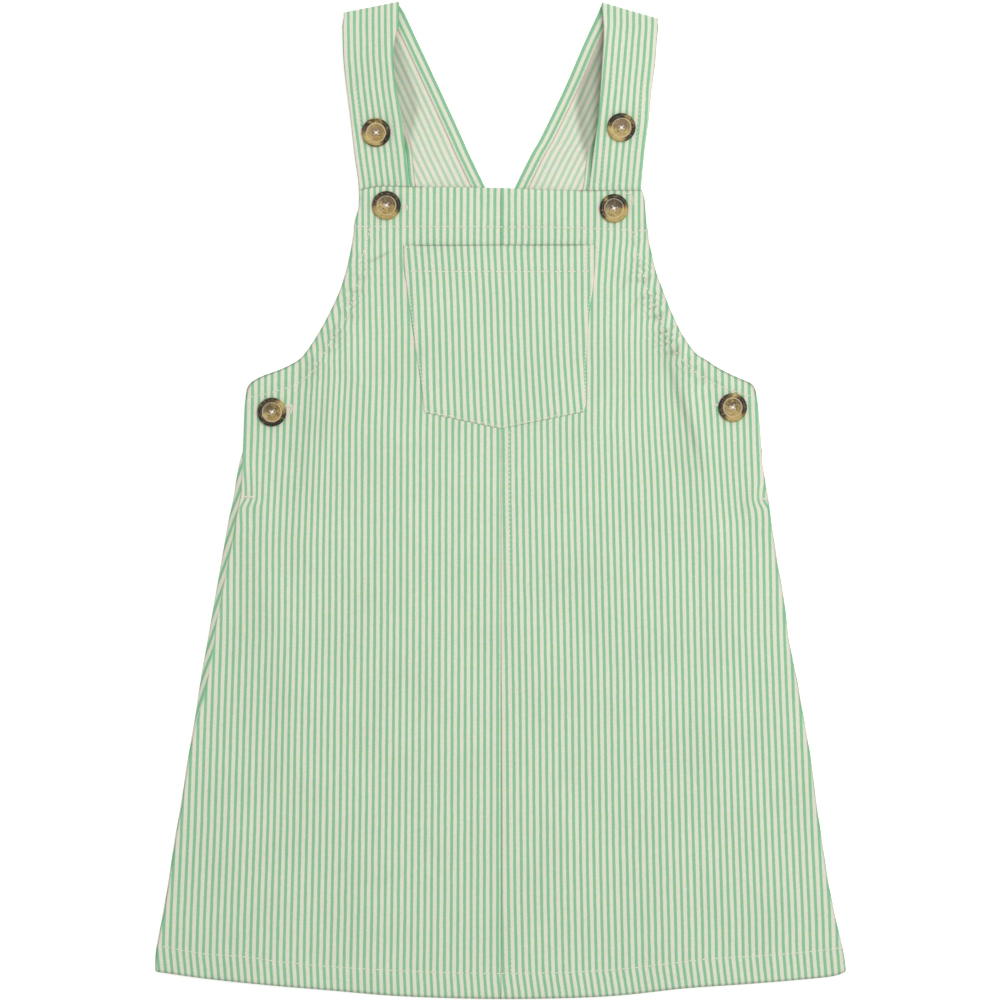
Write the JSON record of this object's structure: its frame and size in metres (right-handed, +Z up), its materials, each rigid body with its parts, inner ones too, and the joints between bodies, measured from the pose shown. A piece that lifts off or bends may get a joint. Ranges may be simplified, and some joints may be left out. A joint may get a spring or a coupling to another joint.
{
  "type": "denim pinafore dress",
  "caption": "Child's sleeveless bib-front pinafore dress in striped denim, laid flat: flared skirt, patch pocket, folded shoulder straps and buttoned bib and side openings.",
  "frame": {"origin": "on the surface that the dress lies on, under the middle of its outline", "axes": "+Z up from the surface, out of the front of the dress; +Y along the dress from the hem to the shoulders; +X across it, to the right of the picture"},
  "size_m": [0.425, 0.6123, 0.0063],
  "materials": {
    "striped_denim": "matt washed cotton twill with narrow green and cream stripes and cream stitching",
    "horn_button": "polished horn effect, dark brown to amber"
  },
  "bodies": {
    "root": {"back": "striped_denim", "front_left": "striped_denim", "front_right": "striped_denim", "pocket": "striped_denim", "strap_left": "striped_denim", "strap_right": "striped_denim", "strap_button_left": "horn_button", "strap_button_right": "horn_button", "bib_button_left": "horn_button", "bib_button_right": "horn_button", "side_button_left": "horn_button", "side_button_right": "horn_button"}
  },
  "joints": []
}
